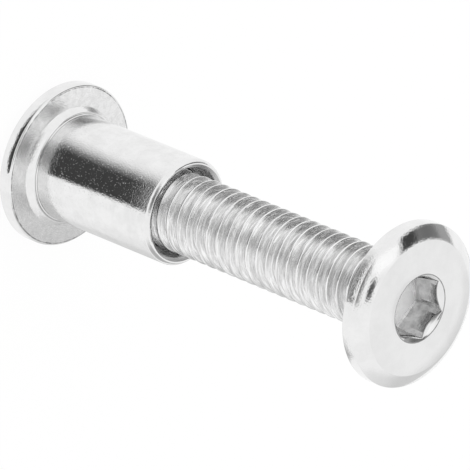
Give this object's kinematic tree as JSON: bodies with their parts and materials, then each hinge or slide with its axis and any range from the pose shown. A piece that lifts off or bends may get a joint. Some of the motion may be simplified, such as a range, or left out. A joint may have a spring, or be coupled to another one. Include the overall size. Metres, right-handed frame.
{
  "type": "binding barrel screw",
  "caption": "Round flat-headed barrel nut with a threaded bore, and the hex-socket screw of like head that runs into it, to clamp panels, straps or leaves between the two heads.",
  "frame": {"origin": "centre of the barrel nut's outer face, on which the part stands", "axes": "+Z along the common axis, from the barrel nut's head to the screw's head; +X through two opposite corners of the key sockets"},
  "size_m": [0.0122, 0.0122, 0.0371],
  "materials": {
    "nut_plating": "bright nickel plating, polished",
    "screw_plating": "bright nickel plating, satin on the thread"
  },
  "bodies": {
    "nut": {"barrel_nut": "nut_plating"},
    "screw": {"socket_screw": "screw_plating"}
  },
  "joints": [
    {"name": "screw_travel", "type": "slide", "parent": "nut", "child": "screw", "axis": [0, 0, 1], "range_m": [-0.0062, 0.0015]}
  ]
}
